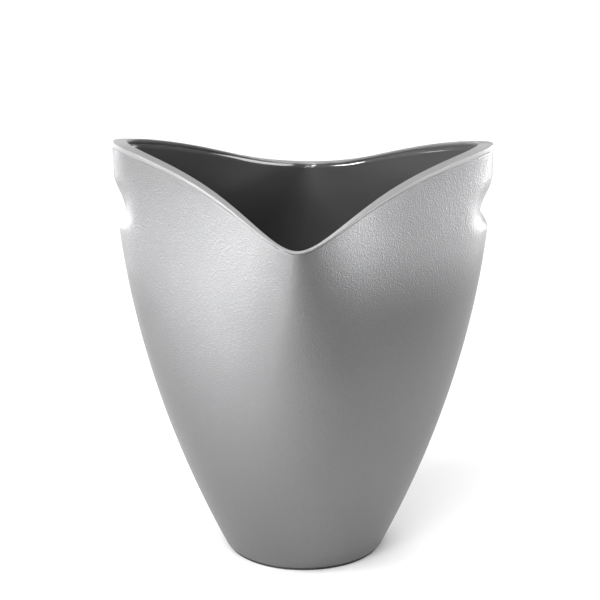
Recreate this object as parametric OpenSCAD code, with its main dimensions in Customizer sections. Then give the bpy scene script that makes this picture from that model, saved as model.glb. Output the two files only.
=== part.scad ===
// Two-skin champagne bucket. The round base opens into a four-cornered rim:
// the left and right corners are pinched and raised, the front and back dip.
// Millimetres, +Z up, origin on the table under the middle of the base.
// X runs between the raised ends and the front faces -Y.

/* [Overall size] */
// Width across the two raised ends
rim_w = 265; // [220:1:320]
// Depth between the two low corners of the rim
rim_d = 205; // [175:1:225]
// Height of the raised ends above the table
height = 301; // [250:1:345]
// Outer diameter of the round base
base_dia = 111; // [92:1:125]

/* [Body shape] */
// How fast the width opens out above the base
width_curve = 1.97; // [1.6:0.01:2.4]
// How fast the depth opens out above the base
depth_curve = 3.2; // [2:0.1:3.6]
// How late the round section turns into the four-cornered one
pinch_rate = 1.17; // [0.8:0.01:1.8]
// Roundness of the low corners at the rim (0 would be a sharp edge)
side_round = 0.04; // [0.03:0.005:0.3]
// Roundness of the raised corners at the rim
end_round = 0.18; // [0.06:0.005:0.4]
// Share by which the flanks hollow between the corners
flank_hollow = 0.16; // [0:0.01:0.2]

/* [Rim] */
// How far the front and back of the rim dip below the ends
rim_dip = 46; // [25:1:65]
// Share of the dip that falls late, close to the low corners
dip_sharpness = 0; // [0:0.05:0.6]
// Thickness of the whole wall at the low corners of the rim
rim_side_t = 5.4; // [4.5:0.1:8]
// Thickness of the whole wall at the raised corners of the rim
rim_end_t = 11; // [9:0.5:14]
// Radius of the rim band's edges
rim_edge_r = 0.9; // [0.5:0.1:1.2]
// Height of the smooth band at the low corners
band_side_h = 1.6; // [1.4:0.1:4]
// Height of the smooth band at the raised corners
band_end_h = 4.6; // [2:0.1:8]
// Length of the tongue that reaches down between the skins
tongue_h = 5; // [3:0.5:8]

/* [Skins] */
// Thickness of the outer shell
shell_t = 2.2; // [1.8:0.1:2.7]
// Thickness of the inner liner
liner_t = 1.8; // [1.5:0.1:2.1]
// How far the liner draws in below the rim, so that the skins stand apart
liner_draft = 3; // [2:0.5:6]
// Height over which the liner draws in
draft_h = 30; // [20:1:50]
// Radius between the liner's wall and its floor
floor_fillet = 12; // [6:1:16]
// Height of the liner's underside above the base plate
floor_gap = 9; // [5:1:16]

/* [Finger scoops] */
// Depth of the scoop in each raised end
scoop_depth = 6.8; // [4:0.1:7]
// Distance from the top of the end down to the start of the scoop
scoop_top = 23; // [15:1:30]
// Length of the gentle upper slope of the scoop
scoop_run_in = 25; // [18:1:32]
// Length of the steep lower ledge of the scoop
scoop_ledge = 13; // [10:1:20]
// Width of the scoop across the end
scoop_w = 44; // [30:1:60]

/* [Base] */
// Height that the foot ring stands proud of the base plate
foot_h = 1; // [0.8:0.1:2]
// Width of the foot ring's tread
foot_w = 6; // [4:0.5:10]
// Height of the bead that keys the foot ring into the base plate
foot_bead_h = 0.8; // [0.5:0.1:1]
// How far the tread stands inside the face of the shell
tread_inset = 0.8; // [0.5:0.1:2]
// Thickness of the base plate's edge under the shell
plate_edge_t = 1.2; // [1.1:0.1:3]
// How far that edge stands inside the face of the shell
plate_inset = 0.5; // [0.2:0.1:1]
// Thickness of the base plate inside the shell
plate_t = 3; // [2.5:0.5:5]
// Radius of the collar that carries the liner's floor
collar_r = 32; // [20:1:36]
// Wall of that collar
collar_t = 2.5; // [1.5:0.5:4]

/* [Clearances] */
// Gap left in every glued seam of the rim and the base
seam_gap = 0.15; // [0.1:0.05:0.3]
// Gap on each side of the gasket
gasket_gap = 0.1; // [0.05:0.05:0.3]
// Height of the gasket
gasket_h = 3; // [2:0.5:5]

/* [Hidden] */

// Columns around the wall and rings up it; the columns meet all four corners
columns = 64;
low_rings = 9;
scoop_rings = 13;
liner_rings = 11;
fillet_rings = 4;
// Segments of the round pieces of the base
$fn = 96;

base_r = base_dia / 2;
// Roundness of the section at the base, large enough to make it a circle
base_round = 8;
plate_top_z = foot_h + plate_edge_t + plate_t;
shell_bottom_z = foot_h + plate_edge_t + seam_gap;
liner_bottom_z = plate_top_z + floor_gap;
// The closer rings of the shell start this far below the scoops
ring_margin = 8;
scoop_zone = scoop_top + scoop_run_in + scoop_ledge + ring_margin;

// Share of the way from the round base to the four-cornered rim
function pinch(z) = pow(z / height, pinch_rate);

// Rise from 0 at the table towards 1 at the top, steep first
function opening(z, curve) = 1 - pow(1 - min(z / height, 1), curve);

function half_width(z) = base_r + (rim_w / 2 - base_r) * opening(z, width_curve);
function half_depth(z) =
    base_r + (rim_d / 2 - base_r) * opening(z, depth_curve) / opening(height - rim_dip, depth_curve);

// Roundness of a corner at height z, from a circle at the base
function roundness(z, rim_value) = base_round * pow(rim_value / base_round, pinch(z));

// Cosine or sine made pointed: r near 0 gives c squared, a large r gives c itself
function pointed(c, r) = let (k = sqrt(1 + r * r) - r) c * sqrt(k * (k * c * c + 2 * r));

// Smooth step between 0 and 1
function ease(x) = (1 - cos(180 * max(0, min(1, x)))) / 2;

// Depth of the finger scoop at a drop below the raised end and a distance across it
function scoop(drop, across) =
    scoop_depth * ease(1 - abs(across) / (scoop_w / 2))
    * min(ease((drop - scoop_top) / scoop_run_in),
          ease((scoop_top + scoop_run_in + scoop_ledge - drop) / scoop_ledge));

// Point of the wall at angle t and height z, inset from the outer face by
// `side` at the low corners and by `end` at the raised ones
function wall(t, z, side, end) =
    let (hollow = 1 - flank_hollow * pinch(z) * pow(sin(2 * t), 2),
         inset = side + (end - side) * pinch(z),
         across = pointed(sin(t), roundness(z, end_round)) * hollow,
         along = pointed(cos(t), roundness(z, side_round)) * hollow)
    [(half_width(z) - inset) * along, (half_depth(z) - side) * across, z];

// The same point with the finger scoops pressed in
function scooped(t, z, side, end) =
    let (p = wall(t, z, side, end), face = wall(t, z, 0, 0))
    [p.x - sign(face.x) * scoop(height - z, face.y), p.y, p.z];

// Heights of the rim line and of the band's lower edge
function rim_z(t) =
    let (s = pow(sin(t), 2)) height - rim_dip * ((1 - dip_sharpness) * s + dip_sharpness * s * s);
function band_h(t) = band_side_h + (band_end_h - band_side_h) * pow(cos(t), 2);
function skin_top(t) = rim_z(t) - band_h(t) - seam_gap;

function angles() = [for (i = [0:columns - 1]) 360 * i / columns];
function mix(a, b, s) = a + (b - a) * s;

function quad(a, b, i) =
    let (next = (i + 1) % columns)
    [[a + i, b + i, b + next], [a + i, b + next, a + next]];

// Rings that close on themselves, last to first
module hoop(rings) {
    polyhedron(
        points = [for (ring = rings) each ring],
        faces = [for (j = [0:len(rings) - 1], i = [0:columns - 1])
            each quad(j * columns, (j + 1) % len(rings) * columns, i)]);
}

// Rings up the outside and down the inside of a vessel, closed by two middles
module vessel(rings, under, floor) {
    last = (len(rings) - 1) * columns;
    count = len(rings) * columns;
    polyhedron(
        points = concat([for (ring = rings) each ring], [under, floor]),
        faces = concat(
            [for (j = [0:len(rings) - 2], i = [0:columns - 1])
                each quad(j * columns, (j + 1) * columns, i)],
            [for (i = [0:columns - 1]) [count, i, (i + 1) % columns]],
            [for (i = [0:columns - 1]) [count + 1, last + (i + 1) % columns, last + i]]));
}

// Share of a column's height for each ring of the shell, closer together at the scoops
function shell_levels() =
    let (split = 1 - scoop_zone / height)
    concat([for (i = [0:low_rings - 1]) split * i / low_rings],
           [for (i = [0:scoop_rings]) mix(split, 1, i / scoop_rings)]);

function shell_ring(s, inset) =
    [for (t = angles()) scooped(t, mix(shell_bottom_z, skin_top(t), s), inset, inset)];

module outer_shell() {
    levels = shell_levels();
    up = [for (s = levels) shell_ring(s, 0)];
    down = [for (k = [1:len(levels)]) shell_ring(levels[len(levels) - k], shell_t)];
    color("silver") hoop(concat(up, down));
}

// The liner draws in below the rim; `out` is 0 on its inner face
function liner_point(t, z, out) =
    let (draw = liner_draft * ease((rim_z(t) - z) / draft_h))
    wall(t, z, rim_side_t + draw - out, rim_end_t + draw - out);

function liner_ring(s, bottom, out) =
    [for (t = angles()) liner_point(t, mix(bottom, skin_top(t), s), out)];

// Ring k of the rounded foot of the liner: 0 on the floor, fillet_rings at the wall
function fillet_ring(k, bottom, out) =
    let (a = 90 * k / fillet_rings, z = bottom + floor_fillet * (1 - cos(a)))
    [for (t = angles()) liner_point(t, z, out - floor_fillet * (1 - sin(a)))];

function liner_face(bottom, out) =
    concat([for (k = [0:fillet_rings - 1]) fillet_ring(k, bottom, out)],
           [for (i = [0:liner_rings]) liner_ring(i / liner_rings, bottom + floor_fillet, out)]);

module inner_liner() {
    outside = liner_face(liner_bottom_z, liner_t);
    inside = liner_face(liner_bottom_z + liner_t, 0);
    n = len(inside);
    color("dimgray")
        vessel(concat(outside, [for (k = [1:n]) inside[n - k]]),
               [0, 0, liner_bottom_z], [0, 0, liner_bottom_z + liner_t]);
}

// Ring of the rim band: insets at the side and end corners, shares of the band's
// height and an extra drop below the rim line
function band_ring(side, end, share, drop) =
    [for (t = angles()) wall(t, rim_z(t) - share * band_h(t) - drop, side, end)];

module rim_band() {
    r = rim_edge_r;
    corner = r * (1 - cos(45));
    lip = liner_t + seam_gap;
    tongue = shell_t + seam_gap;
    color("gainsboro") hoop([
        band_ring(0, 0, 1, 0),
        band_ring(0, 0, 0, r),
        band_ring(corner, corner, 0, corner),
        band_ring(r, r, 0, 0),
        band_ring(rim_side_t - r, rim_end_t - r, 0, 0),
        band_ring(rim_side_t - corner, rim_end_t - corner, 0, corner),
        band_ring(rim_side_t, rim_end_t, 0, r),
        band_ring(rim_side_t, rim_end_t, 1, 0),
        band_ring(rim_side_t - lip, rim_end_t - lip, 1, 0),
        band_ring(rim_side_t - lip, rim_end_t - lip, 1, tongue_h),
        band_ring(tongue, tongue, 1, tongue_h),
        band_ring(tongue, tongue, 1, 0)
    ]);
}

// Soft strip squeezed between the skins under the band's tongue
module rim_gasket() {
    top = tongue_h + seam_gap;
    outer = shell_t + gasket_gap;
    inner = liner_t + gasket_gap;
    color("darkslategray") hoop([
        band_ring(outer, outer, 1, top + gasket_h),
        band_ring(outer, outer, 1, top),
        band_ring(rim_side_t - inner, rim_end_t - inner, 1, top),
        band_ring(rim_side_t - inner, rim_end_t - inner, 1, top + gasket_h)
    ]);
}

// Disc that closes the shell from below, with a collar under the liner's floor
module base_plate() {
    edge_r = base_r - plate_inset;
    spigot_r = base_r - shell_t - 2 * seam_gap;
    bead_in = base_r - foot_w - seam_gap;
    bead_out = base_r - foot_w / 2 + seam_gap;
    bead_top = foot_h + foot_bead_h + seam_gap;
    color("dimgray") rotate_extrude() polygon([
        [0, foot_h],
        [bead_in, foot_h],
        [bead_in, bead_top],
        [bead_out, bead_top],
        [bead_out, foot_h],
        [edge_r, foot_h],
        [edge_r, foot_h + plate_edge_t],
        [spigot_r, foot_h + plate_edge_t],
        [spigot_r, plate_top_z],
        [collar_r, plate_top_z],
        [collar_r, liner_bottom_z],
        [collar_r - collar_t, liner_bottom_z],
        [collar_r - collar_t, plate_top_z],
        [0, plate_top_z]
    ]);
}

// Non-slip ring keyed into the base plate; its underside rests on the table
module foot_ring() {
    tread_out = base_r - tread_inset;
    color("black") rotate_extrude() polygon([
        [base_r - foot_w, 0],
        [tread_out, 0],
        [tread_out, foot_h],
        [base_r - foot_w / 2, foot_h],
        [base_r - foot_w / 2, foot_h + foot_bead_h],
        [base_r - foot_w, foot_h + foot_bead_h]
    ]);
}

outer_shell();
inner_liner();
rim_band();
rim_gasket();
base_plate();
foot_ring();
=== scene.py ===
import math
import bmesh
import bpy
from mathutils import Matrix, Vector


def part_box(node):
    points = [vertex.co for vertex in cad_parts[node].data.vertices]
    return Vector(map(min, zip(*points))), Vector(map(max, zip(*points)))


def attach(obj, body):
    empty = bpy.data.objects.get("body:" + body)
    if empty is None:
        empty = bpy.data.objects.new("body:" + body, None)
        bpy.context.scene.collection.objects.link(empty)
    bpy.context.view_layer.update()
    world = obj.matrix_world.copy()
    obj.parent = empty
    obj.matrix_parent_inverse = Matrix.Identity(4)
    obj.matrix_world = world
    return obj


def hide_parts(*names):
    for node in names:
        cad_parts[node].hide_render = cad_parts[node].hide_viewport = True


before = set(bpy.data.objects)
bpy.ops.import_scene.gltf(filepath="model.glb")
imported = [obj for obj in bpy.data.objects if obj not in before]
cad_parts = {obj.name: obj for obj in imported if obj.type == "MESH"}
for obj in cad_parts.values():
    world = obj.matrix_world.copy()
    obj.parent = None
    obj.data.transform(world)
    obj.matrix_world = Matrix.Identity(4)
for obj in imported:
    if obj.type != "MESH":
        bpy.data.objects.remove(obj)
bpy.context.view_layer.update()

mm = 0.001
scene = bpy.context.scene

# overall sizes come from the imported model, in millimetres
bandLow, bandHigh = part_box("rim_band")
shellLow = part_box("outer_shell")[0]
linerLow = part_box("inner_liner")[0]
plateLow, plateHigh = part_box("base_plate")
plateInset = 0.5  # how far the base plate sits inside the body's edge, in millimetres

# the rule of the body, shared by every skin
body = {
    "Rim Width": (bandHigh.x - bandLow.x) / mm,
    "Rim Depth": (bandHigh.y - bandLow.y) / mm,
    "Height": bandHigh.z / mm,
    "Base Width": (plateHigh.x - plateLow.x) / mm + 2 * plateInset,
    "Width Curve": 1.97,
    "Depth Curve": 3.2,
    "Pinch Rate": 1.17,
    "Base Round": 8.0,
    "End Round": 0.18,
    "Side Round": 0.04,
    "Flank Hollow": 0.16,
    "Rim Dip": 46.0,
    "Dip Sharpness": 0.0,
    "Band Side": 0.9,
    "Band End": 3.7,
    "Scoop Depth": 6.8,
    "Scoop Top": 23.0,
    "Scoop Run In": 25.0,
    "Scoop Ledge": 13.0,
    "Scoop Width": 44.0,
    "Draft": 3.0,
    "Draft Height": 30.0,
}


class Wire:
    # a node socket that takes part in plain arithmetic
    def __init__(self, tree, socket):
        self.tree = tree
        self.socket = socket

    def maths(self, operation, *others):
        return addNode(self.tree, "ShaderNodeMath", {"operation": operation},
                       dict(enumerate((self,) + others)))

    def __add__(self, other): return self.maths("ADD", other)
    def __radd__(self, other): return self.maths("ADD", other)
    def __sub__(self, other): return self.maths("SUBTRACT", other)
    def __rsub__(self, other): return takenFrom(self, other)
    def __mul__(self, other): return self.maths("MULTIPLY", other)
    def __rmul__(self, other): return self.maths("MULTIPLY", other)
    def __truediv__(self, other): return self.maths("DIVIDE", other)
    def __pow__(self, other): return self.maths("POWER", other)
    def __abs__(self): return self.maths("ABSOLUTE")


def takenFrom(wire, number):
    # the plain number comes first, as in 1 - mask
    return addNode(wire.tree, "ShaderNodeMath", {"operation": "SUBTRACT"}, {0: number, 1: wire})


def addNode(tree, kind, settings=None, sockets=None, out=0):
    node = tree.nodes.new(kind)
    for name, value in (settings or {}).items():
        setattr(node, name, value)
    for name, value in (sockets or {}).items():
        if isinstance(value, Wire):
            tree.links.new(value.socket, node.inputs[name])
        else:
            node.inputs[name].default_value = value
    return Wire(tree, node.outputs[out])


# one tree sweeps the stations of a wall's profile round the body's rule
stationKeys = ("side", "end", "lift", "share", "drop", "low", "reach", "scoop", "draft")
sewing = {"grid": 0.02, "closing": 0.001}  # points nearer than this are joined, in millimetres


def buildSweepTree():
    tree = bpy.data.node_groups.new("wallSweep", "GeometryNodeTree")
    face = tree.interface
    face.new_socket("Stations", in_out="INPUT", socket_type="NodeSocketGeometry")
    face.new_socket("Finish", in_out="INPUT", socket_type="NodeSocketMaterial")
    face.new_socket("Columns", in_out="INPUT", socket_type="NodeSocketInt")
    for name in body:
        face.new_socket(name, in_out="INPUT", socket_type="NodeSocketFloat")
    face.new_socket("Wall", in_out="OUTPUT", socket_type="NodeSocketGeometry")
    given = tree.nodes.new("NodeGroupInput")
    size = {name: Wire(tree, given.outputs[name]) for name in body}
    stations = Wire(tree, given.outputs["Stations"])
    columns = Wire(tree, given.outputs["Columns"])
    rows = addNode(tree, "GeometryNodeAttributeDomainSize", {"component": "MESH"},
                   {"Geometry": stations})
    grid = addNode(tree, "GeometryNodeMeshGrid", None,
                   {"Size X": 1.0, "Size Y": 1.0, "Vertices X": columns + 1, "Vertices Y": rows})
    place = addNode(tree, "GeometryNodeInputPosition")
    across = addNode(tree, "ShaderNodeSeparateXYZ", None, {0: place}, out="X")
    up = addNode(tree, "ShaderNodeSeparateXYZ", None, {0: place}, out="Y")
    t = (across + 0.5) * (2 * math.pi)
    row = ((up + 0.5) * (rows - 1)).maths("ROUND")

    def read(name):
        value = addNode(tree, "GeometryNodeInputNamedAttribute", {"data_type": "FLOAT"}, {"Name": name})
        return addNode(tree, "GeometryNodeSampleIndex", {"data_type": "FLOAT", "domain": "POINT"},
                       {"Geometry": stations, "Value": value, "Index": row})

    station = {name: read(name) for name in stationKeys}
    sine = t.maths("SINE")
    cosine = t.maths("COSINE")

    def ease(x):
        return (1 - (x.maths("MAXIMUM", 0.0).maths("MINIMUM", 1.0) * math.pi).maths("COSINE")) * 0.5

    def opening(z, curve):
        return 1 - (1 - (z / size["Height"]).maths("MINIMUM", 1.0)) ** curve

    def pointed(c, r):
        k = (1 + r * r).maths("SQRT") - r
        return c * (k * (k * c * c + 2 * r)).maths("SQRT")

    # height of the rim line, and of this station on its column
    low = sine * sine
    rimLine = size["Height"] - size["Rim Dip"] * (
        (1 - size["Dip Sharpness"]) * low + size["Dip Sharpness"] * low * low)
    bandHeight = size["Band Side"] + (size["Band End"] - size["Band Side"]) * cosine * cosine
    top = rimLine - station["share"] * bandHeight - station["drop"]
    z = station["low"] + (top - station["low"]) * station["lift"]

    # half width and half depth of the section
    baseRadius = size["Base Width"] * 0.5
    halfWidth = baseRadius + (size["Rim Width"] * 0.5 - baseRadius) * opening(z, size["Width Curve"])
    halfDepth = baseRadius + (size["Rim Depth"] * 0.5 - baseRadius) * (
        opening(z, size["Depth Curve"]) / opening(size["Height"] - size["Rim Dip"], size["Depth Curve"]))
    pinch = (z.maths("MAXIMUM", 0.0) / size["Height"]) ** size["Pinch Rate"]
    twice = (t * 2).maths("SINE")
    hollow = 1 - size["Flank Hollow"] * pinch * twice * twice
    endRound = size["Base Round"] * (size["End Round"] / size["Base Round"]) ** pinch
    sideRound = size["Base Round"] * (size["Side Round"] / size["Base Round"]) ** pinch
    along = pointed(cosine, sideRound) * hollow
    sideways = pointed(sine, endRound) * hollow

    # insets, drawn in further below the rim on the liner
    draw = size["Draft"] * station["draft"] * ease((rimLine - z) / size["Draft Height"])
    sideInset = station["side"] + draw
    endInset = sideInset + (station["end"] - station["side"]) * pinch

    # finger scoops
    drop = size["Height"] - z
    scoop = size["Scoop Depth"] * station["scoop"] * ease(
        1 - abs(halfDepth * sideways) / (size["Scoop Width"] * 0.5)) * ease(
        (drop - size["Scoop Top"]) / size["Scoop Run In"]).maths("MINIMUM", ease(
            (size["Scoop Top"] + size["Scoop Run In"] + size["Scoop Ledge"] - drop) / size["Scoop Ledge"]))
    x = ((halfWidth - endInset) * along - cosine.maths("SIGN") * scoop) * station["reach"]
    y = (halfDepth - sideInset) * sideways * station["reach"]

    point = addNode(tree, "ShaderNodeCombineXYZ", None, {"X": x * mm, "Y": y * mm, "Z": z * mm})
    moved = addNode(tree, "GeometryNodeSetPosition", None, {"Geometry": grid, "Position": point})
    sewn = addNode(tree, "GeometryNodeMergeByDistance", None,
                   {"Geometry": moved, "Distance": sewing["grid"] * mm})
    plain = addNode(tree, "GeometryNodeRealizeInstances", None, {"Geometry": sewn})
    painted = addNode(tree, "GeometryNodeSetMaterial", None,
                      {"Geometry": plain, "Material": Wire(tree, given.outputs["Finish"])})
    result = tree.nodes.new("NodeGroupOutput")
    tree.links.new(painted.socket, result.inputs["Wall"])
    return tree


def station(side, end=None, **more):
    # one point of a wall's profile; what isn't named stays at its usual value
    full = {"side": side, "end": side if end is None else end, "lift": 1.0, "share": 0.0, "drop": 0.0,
            "low": 0.0, "reach": 1.0, "scoop": 0.0, "draft": 0.0}
    full.update(more)
    return full


def sweep(name, stations, finish, columns=256):
    spine = bpy.data.meshes.new(name + "Stations")
    count = len(stations)
    spine.from_pydata([(0, 0, i * mm) for i in range(count)], [(i, i + 1) for i in range(count - 1)], [])
    for key in stationKeys:
        layer = spine.attributes.new(key, "FLOAT", "POINT")
        layer.data.foreach_set("value", [s[key] for s in stations])
    carrier = bpy.data.objects.new(name + "Carrier", spine)
    scene.collection.objects.link(carrier)
    modifier = carrier.modifiers.new("sweep", "NODES")
    modifier.node_group = sweepTree
    chosen = dict(body, Columns=columns, Finish=finish)
    for item in sweepTree.interface.items_tree:
        if item.in_out == "INPUT" and item.name in chosen:
            modifier[item.identifier] = chosen[item.name]
    depsgraph = bpy.context.evaluated_depsgraph_get()
    mesh = bpy.data.meshes.new_from_object(carrier.evaluated_get(depsgraph), depsgraph=depsgraph)
    bpy.data.objects.remove(carrier)
    mesh.name = name
    return closedPiece(name, mesh, finish)


def closedPiece(name, mesh, finish):
    work = bmesh.new()
    work.from_mesh(mesh)
    bmesh.ops.remove_doubles(work, verts=work.verts, dist=sewing["closing"] * mm)
    bmesh.ops.recalc_face_normals(work, faces=work.faces)
    openEdges = sum(1 for e in work.edges if not e.is_manifold)
    work.to_mesh(mesh)
    work.free()
    mesh.polygons.foreach_set("use_smooth", [True] * len(mesh.polygons))
    mesh.materials.clear()
    mesh.materials.append(finish)
    piece = bpy.data.objects.new(name, mesh)
    scene.collection.objects.link(piece)
    print(name, len(mesh.polygons), "faces,", openEdges, "open edges")
    return piece


def arc(steps, start, end):
    # angles from start to end in degrees, both ends kept
    return [math.radians(start + (end - start) * i / steps) for i in range(steps + 1)]


def newFinish(name):
    finish = bpy.data.materials.new(name)
    finish.use_nodes = True
    tree = finish.node_tree
    return finish, tree, tree.nodes["Principled BSDF"]


def objectPoint(tree):
    return addNode(tree, "ShaderNodeTexCoord", None, None, out="Object")


def drive(tree, shader, **links):
    for name, wire in links.items():
        tree.links.new(wire.socket, shader.inputs[name.replace("_", " ")])


def greyRamp(tree, value, low, high):
    return addNode(tree, "ShaderNodeMix", {"data_type": "RGBA"},
                   {0: value, 6: (low, low, low * 1.01, 1), 7: (high, high, high * 1.01, 1)}, out=2)


def grainedSilver():
    # grain and fine in millimetres; flake and patch are noise scales
    look = {"grain": 0.95, "fine": 0.42, "deep": 0.32, "flake": 900.0, "patch": 14.0, "dark": 0.125,
            "light": 0.18, "metallic": 0.72, "roughness": 0.42, "strength": 0.9, "specular": 0.5}
    finish, tree, shader = newFinish("grainedSilver")
    point = objectPoint(tree)
    cells = addNode(tree, "ShaderNodeTexVoronoi", {"feature": "SMOOTH_F1"},
                    {"Vector": point, "Scale": 1 / (look["grain"] * mm), "Smoothness": 0.6}, out="Distance")
    fine = addNode(tree, "ShaderNodeTexNoise", None,
                   {"Vector": point, "Scale": 1 / (look["fine"] * mm), "Detail": 3.0, "Roughness": 0.6})
    flake = addNode(tree, "ShaderNodeTexNoise", None,
                    {"Vector": point, "Scale": look["flake"], "Detail": 2.0, "Roughness": 0.7})
    patch = addNode(tree, "ShaderNodeTexNoise", None,
                    {"Vector": point, "Scale": look["patch"], "Detail": 3.0})
    height = cells * 0.6 + fine * 0.5
    bump = addNode(tree, "ShaderNodeBump", None,
                   {"Strength": look["strength"], "Distance": look["deep"] * mm, "Height": height})
    tone = (flake * 0.55 + patch * 0.3 + cells * 0.25).maths("MINIMUM", 1.0)
    drive(tree, shader, Base_Color=greyRamp(tree, tone, look["dark"], look["light"]),
          Roughness=look["roughness"] - 0.05 + fine * 0.1, Normal=bump)
    shader.inputs["Metallic"].default_value = look["metallic"]
    shader.inputs["Specular IOR Level"].default_value = look["specular"]
    return finish


def smoothSilver():
    look = {"flow": 60.0, "flake": 1600.0, "strength": 0.1, "deep": 0.02, "dark": 0.19, "light": 0.24,
            "metallic": 0.35, "roughness": 0.45}
    finish, tree, shader = newFinish("smoothSilver")
    point = objectPoint(tree)
    flow = addNode(tree, "ShaderNodeTexNoise", None,
                   {"Vector": point, "Scale": look["flow"], "Detail": 4.0})
    flake = addNode(tree, "ShaderNodeTexNoise", None,
                    {"Vector": point, "Scale": look["flake"], "Detail": 1.0})
    bump = addNode(tree, "ShaderNodeBump", None,
                   {"Strength": look["strength"], "Distance": look["deep"] * mm, "Height": flow})
    drive(tree, shader, Base_Color=greyRamp(tree, flake * 0.6 + flow * 0.4, look["dark"], look["light"]),
          Roughness=look["roughness"] - 0.05 + flow * 0.1, Normal=bump)
    shader.inputs["Metallic"].default_value = look["metallic"]
    return finish


# painted shade: the liner's near-black grey is darker than its plastic and stands in for the shade inside
# the bucket
def shadeDarkenedLiner():
    look = {"flow": 22.0, "haze": 180.0, "strength": 0.08, "deep": 0.4, "dark": 0.058, "light": 0.075,
            "roughness": 0.1, "specular": 0.75}
    finish, tree, shader = newFinish("shadeDarkenedLiner")
    point = objectPoint(tree)
    flow = addNode(tree, "ShaderNodeTexNoise", None,
                   {"Vector": point, "Scale": look["flow"], "Detail": 5.0})
    haze = addNode(tree, "ShaderNodeTexNoise", None,
                    {"Vector": point, "Scale": look["haze"], "Detail": 2.0})
    bump = addNode(tree, "ShaderNodeBump", None,
                   {"Strength": look["strength"], "Distance": look["deep"] * mm, "Height": flow})
    drive(tree, shader, Base_Color=greyRamp(tree, flow * 0.7 + haze * 0.3, look["dark"], look["light"]),
          Roughness=look["roughness"] - 0.03 + haze * 0.06, Normal=bump)
    shader.inputs["Specular IOR Level"].default_value = look["specular"]
    return finish


def blackPlastic(name, tone, roughness, grain):
    # grain in millimetres
    finish, tree, shader = newFinish(name)
    point = objectPoint(tree)
    speck = addNode(tree, "ShaderNodeTexNoise", None,
                    {"Vector": point, "Scale": 1 / (grain * mm), "Detail": 3.0})
    bump = addNode(tree, "ShaderNodeBump", None, {"Strength": 0.4, "Distance": 0.06 * mm, "Height": speck})
    drive(tree, shader, Base_Color=greyRamp(tree, speck, tone * 0.7, tone * 1.4),
          Roughness=roughness - 0.1 + speck * 0.2, Normal=bump)
    return finish


finishes = {"shell": grainedSilver(), "band": smoothSilver(), "liner": shadeDarkenedLiner(),
            "plate": blackPlastic("basePlastic", 0.05, 0.5, 1.2),
            # painted shadow: the foot ring's near-black stands in for the shadow gap under the base
            "foot": blackPlastic("footRubberShadow", 0.02, 0.75, 0.6),
            "gasket": blackPlastic("gasketRubber", 0.03, 0.7, 0.8)}
print("finishes made")

sweepTree = buildSweepTree()

shellPiece = {"thickness": 2.2, "edge": 0.45, "footEdge": 0.7, "seam": 0.15, "rings": 120,
              "edgeSteps": 4, "bottom": shellLow.z / mm}
rimPiece = {"side": 5.4, "end": 11.0, "outerEdge": 0.8, "innerEdge": 1.1, "lowEdge": 0.4, "steps": 5,
            "lowSteps": 4, "topRows": 8, "lip": 1.95, "tongueGap": 2.35, "tongue": 5.0}
linerPiece = {"thickness": 1.8, "fillet": 12.0, "filletSteps": 10, "rings": 70, "seam": 0.15,
              "floorRows": (0.0, 0.08, 0.2, 0.4, 0.6, 0.8, 0.92), "floor": linerLow.z / mm}


def shellStations(p):
    stations = []
    r, foot, bottom, seam = p["edge"], p["footEdge"], p["bottom"], p["seam"]
    for a in arc(p["edgeSteps"], 0, 90):  # rounded lower edge, from underneath to the face
        stations.append(station(foot * (1 - math.sin(a)), lift=0.0,
                                low=bottom + foot * (1 - math.cos(a)), scoop=1.0))
    n = p["rings"]
    for i in range(1, n + 1):
        stations.append(station(0, lift=i / n, low=bottom + foot, share=1.0, drop=seam + r, scoop=1.0))
    for a in arc(p["edgeSteps"], 0, 90)[1:]:  # rounded upper edge
        stations.append(station(r * (1 - math.cos(a)), share=1.0,
                                drop=seam + r * (1 - math.sin(a)), scoop=1.0))
    for i in range(n + 1):  # back down the inside
        stations.append(station(p["thickness"], lift=1 - i / n, low=bottom, share=1.0,
                                drop=seam, scoop=1.0))
    return stations + stations[:1]


def rimStations(p):
    side, end, steps, rows = p["side"], p["end"], p["steps"], p["topRows"]
    low, outer, inner, lip = p["lowEdge"], p["outerEdge"], p["innerEdge"], p["lip"]
    stations = []
    for a in arc(p["lowSteps"], 0, 90):  # rounded lower edge
        stations.append(station(low * (1 - math.sin(a)), share=1.0, drop=-low * (1 - math.cos(a))))
    for a in arc(steps, 0, 90):  # rounded upper edge
        stations.append(station(outer * (1 - math.cos(a)), drop=outer * (1 - math.sin(a))))
    for i in range(1, rows):  # across the top face
        s = i / rows
        stations.append(station(outer + (side - inner - outer) * s, outer + (end - inner - outer) * s))
    for a in arc(steps, 90, 0):  # rounded inner edge
        inward = inner * (1 - math.cos(a))
        stations.append(station(side - inward, end - inward, drop=inner * (1 - math.sin(a))))
    stations.append(station(side, end, share=1.0))
    stations.append(station(side - lip, end - lip, share=1.0))
    stations.append(station(side - lip, end - lip, share=1.0, drop=p["tongue"]))
    stations.append(station(p["tongueGap"], share=1.0, drop=p["tongue"]))
    stations.append(station(p["tongueGap"], share=1.0))
    return stations + stations[:1]


def linerStations(p):
    side, end = rimPiece["side"], rimPiece["end"]
    fillet, n = p["fillet"], p["rings"]

    def face(out, floor, down):
        found = []
        for reach in p["floorRows"]:
            found.append(station(side - out + fillet, end - out + fillet, lift=0.0, low=floor,
                                 reach=reach, draft=1.0))
        for a in arc(p["filletSteps"], 0, 90):
            inset = fillet * (1 - math.sin(a)) - out
            found.append(station(side + inset, end + inset, lift=0.0,
                                 low=floor + fillet * (1 - math.cos(a)), draft=1.0))
        for i in range(1, n + 1):
            found.append(station(side - out, end - out, lift=i / n, low=floor + fillet, share=1.0,
                                 drop=p["seam"], draft=1.0))
        return found[::-1] if down else found

    return face(p["thickness"], p["floor"], False) + face(0.0, p["floor"] + p["thickness"], True)


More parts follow.
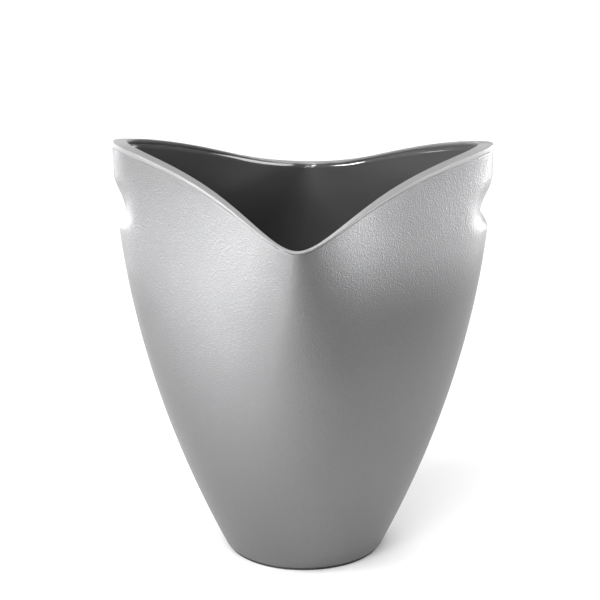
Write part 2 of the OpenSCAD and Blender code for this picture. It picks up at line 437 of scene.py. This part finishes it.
pieces = {
    "outerShell": (shellStations(shellPiece), "shell", "outer_shell", "grained_silver"),
    "rimBand": (rimStations(rimPiece), "band", "rim_band", "smooth_silver"),
    "innerLiner": (linerStations(linerPiece), "liner", "inner_liner", "dark_liner"),
}
# each piece: its stations, its finish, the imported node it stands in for, and its slot
for name, (stations, finishName, node, slotName) in pieces.items():
    made = sweep(name, stations, finishes[finishName])
    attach(made, "root")
    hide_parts(node)

# pieces that stay as the model made them, with their own finishes; the foot ring's near-black is painted
# shadow, standing in for the shadow gap under the base
for node, finishName in (("rim_gasket", "gasket"), ("base_plate", "plate"), ("foot_ring", "foot")):
    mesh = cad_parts[node].data
    mesh.materials.clear()
    mesh.materials.append(finishes[finishName])
print("skins and base done")

# panels: side of the object in degrees (0 front, 90 right), distance, height, width, tall, watts
panels = {
    "frontLeft": (-35, 1.0, 0.45, 0.5, 0.8, 8.2),
    "rightBack": (110, 1.0, 0.45, 0.5, 0.8, 8.5),
    "highLeft": (-60, 0.9, 1.1, 0.6, 0.4, 13.0),
    "highFront": (0, 0.9, 1.1, 0.6, 0.4, 7.3),
}
# snooted lamps: side, distance, height, what they point at, reach of the pool, lamp radius, watts
lamps = {
    "leftFlank": (-100, 1.0, 0.30, (-0.05, -0.06, 0.23), 0.085, 0.12, 165),
    "leftFlankLow": (-60, 1.0, 0.30, (-0.02, -0.09, 0.17), 0.09, 0.12, 85),
    "leftEnd": (-140, 1.0, 0.45, (-0.13, 0.0, 0.24), 0.11, 0.12, 150),
    "rightFlank": (25, 1.0, 0.45, (0.13, -0.01, 0.26), 0.11, 0.12, 14),
    "rightEnd": (60, 1.0, 0.5, (0.16, 0.0, 0.27), 0.075, 0.06, 52),
    "rightSide": (100, 1.0, 0.35, (0.13, -0.01, 0.265), 0.06, 0.02, 100),
    "leftSide": (-105, 1.0, 0.35, (-0.13, 0.015, 0.25), 0.065, 0.02, 85),
}
backdrop = {"place": (0, 2.7, 1.9), "target": (0, 2.7, 0), "width": 3.6, "height": 3.0, "watts": 95}
overhead = {"watts": 0.7, "spread": 50, "height": 3}
view = {"distance": 2.2, "azimuth": 2.33, "elevation": 20.96, "roll": -0.308,
        "centre": (0, 0, 0.15), "aim": (-0.0023, 0.0, 0.1843), "lens": 185.8, "sensor": 36.0}
middle = (0, 0, 0.2)  # what the panels point at
skyStrength = 0.03
floorHalf = 12.0  # half the floor's side, in metres


def floorFinish():
    finish, tree, shader = newFinish("paleFloor")
    point = objectPoint(tree)
    cloud = addNode(tree, "ShaderNodeTexNoise", None, {"Vector": point, "Scale": 6.0, "Detail": 3.0})
    drive(tree, shader, Base_Color=greyRamp(tree, cloud, 0.86, 0.88), Roughness=0.55 + cloud * 0.1)
    return finish


def makeFloor():
    mesh = bpy.data.meshes.new("floor")
    corners = [(x * floorHalf, y * floorHalf, 0) for x, y in ((-1, -1), (1, -1), (1, 1), (-1, 1))]
    mesh.from_pydata(corners, [], [(0, 1, 2, 3)])
    mesh.materials.append(floorFinish())
    floor = bpy.data.objects.new("floor", mesh)
    scene.collection.objects.link(floor)


def aim(thing, target):
    thing.rotation_euler = (Vector(target) - thing.location).to_track_quat("-Z", "Y").to_euler()


def makeLight(name, place, target, width, height, power):
    data = bpy.data.lights.new(name, "AREA")
    data.shape = "RECTANGLE"
    data.size = width
    data.size_y = height
    data.energy = power
    light = bpy.data.objects.new(name, data)
    light.location = place
    scene.collection.objects.link(light)
    aim(light, target)


def makeCamera():
    a, e = math.radians(view["azimuth"]), math.radians(view["elevation"])
    back = Vector((math.sin(a) * math.cos(e), -math.cos(a) * math.cos(e), math.sin(e)))
    data = bpy.data.cameras.new("camera")
    data.lens = view["lens"]
    data.sensor_width = view["sensor"]
    camera = bpy.data.objects.new("camera", data)
    camera.location = Vector(view["centre"]) + back * view["distance"]
    scene.collection.objects.link(camera)
    aim(camera, view["aim"])
    turn = camera.rotation_euler.to_matrix().to_4x4() @ Matrix.Rotation(math.radians(view["roll"]), 4, "Z")
    camera.rotation_euler = turn.to_euler()
    scene.camera = camera


def makeSun():
    # straight overhead, so it fills the floor and misses the leaning walls
    data = bpy.data.lights.new("overhead", "SUN")
    data.energy = overhead["watts"]
    data.angle = math.radians(overhead["spread"])
    lamp = bpy.data.objects.new("overhead", data)
    lamp.location = (0, 0, overhead["height"])
    scene.collection.objects.link(lamp)


def makeSpot(name, place, target, reach, radius, power):
    # a snooted lamp: its soft pool ends at reach from the target
    data = bpy.data.lights.new(name, "SPOT")
    data.energy = power
    data.shadow_soft_size = radius
    data.spot_blend = 1.0
    data.spot_size = 2 * math.atan(reach / (Vector(target) - Vector(place)).length)
    lamp = bpy.data.objects.new(name, data)
    lamp.location = place
    scene.collection.objects.link(lamp)
    aim(lamp, target)


def around(azimuth, distance, height):
    a = math.radians(azimuth)  # 0 is the front, 90 the right
    return (math.sin(a) * distance, -math.cos(a) * distance, height)


makeFloor()
for name, (side, distance, height, width, tall, watts) in panels.items():
    makeLight(name, around(side, distance, height), middle, width, tall, watts)
for name, (side, distance, height, target, reach, radius, watts) in lamps.items():
    makeSpot(name, around(side, distance, height), target, reach, radius, watts)
makeSun()
makeLight("backdrop", backdrop["place"], backdrop["target"], backdrop["width"], backdrop["height"],
          backdrop["watts"])
makeCamera()
world = bpy.data.worlds.new("studio")
scene.world = world
world.use_nodes = True
worldTree = world.node_tree
sky = worldTree.nodes["Background"]
sky.inputs["Color"].default_value = (1, 1, 1, 1)
sky.inputs["Strength"].default_value = skyStrength
scene.view_settings.view_transform = "Standard"
print("studio set")
